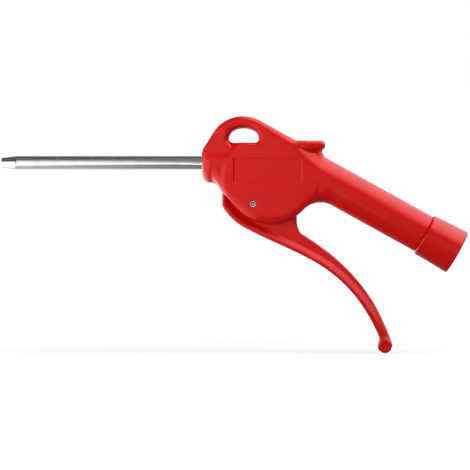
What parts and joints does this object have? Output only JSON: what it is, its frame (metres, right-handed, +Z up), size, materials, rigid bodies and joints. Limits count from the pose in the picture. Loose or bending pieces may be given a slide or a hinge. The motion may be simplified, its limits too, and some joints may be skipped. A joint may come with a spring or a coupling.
{
  "type": "air blow gun",
  "caption": "Hand-held compressed-air blow gun with a long straight metal nozzle, hanging eye and squeeze lever that lifts a spring-loaded poppet valve.",
  "frame": {"origin": "centre of the threaded air inlet at the end face of the handle", "axes": "+X from the nozzle tip towards the handle, level with the nozzle; +Y across the thickness; +Z up, from the lever's bead towards the hanging eye"},
  "size_m": [0.2797, 0.0274, 0.1416],
  "materials": {
    "red_moulding": "satin red moulded glass-filled nylon with a very fine grain",
    "red_lever": "satin red moulded glass-filled nylon",
    "red_collar": "glossy red moulded nylon",
    "chromed_tube": "bright chromed steel tube with fine drawing lines",
    "stainless_steel": "turned stainless steel",
    "spring_steel": "bright drawn spring steel",
    "brass": "turned brass",
    "seal_rubber": "black nitrile rubber"
  },
  "bodies": {
    "gun": {"body": "red_moulding", "nozzle_tube": "chromed_tube", "nozzle_stop_ring": "brass", "nozzle_gland_nut": "brass", "nozzle_o_ring": "seal_rubber", "lever_pin": "spring_steel", "valve_bush": "brass", "bush_seal_upper": "seal_rubber", "bush_seal_lower": "seal_rubber", "bush_circlip": "spring_steel", "valve_spring": "spring_steel", "inlet_collar": "red_collar", "inlet_insert": "brass", "inlet_o_ring": "seal_rubber"},
    "lever": {"lever": "red_lever"},
    "valve": {"poppet": "brass", "valve_disc": "seal_rubber", "disc_washer": "stainless_steel", "push_pin": "stainless_steel", "push_pin_o_ring": "seal_rubber"}
  },
  "joints": [
    {"name": "lever_squeeze", "type": "hinge", "parent": "gun", "child": "lever", "pos_m": [-0.12256, 0, 0.02903], "axis": [0, -1, 0], "range_deg": [0, 14], "stiffness_Nm_per_rad": 1.5, "springref_deg": -17.19},
    {"name": "valve_slide", "type": "slide", "parent": "gun", "child": "valve", "axis": [0, 0, 1], "range_m": [0, 0.00245], "deforming": ["valve_spring"]}
  ],
  "couplings": [
    {"joint": "valve_slide", "follows": "lever_squeeze", "m_per_rad": 0.01}
  ]
}
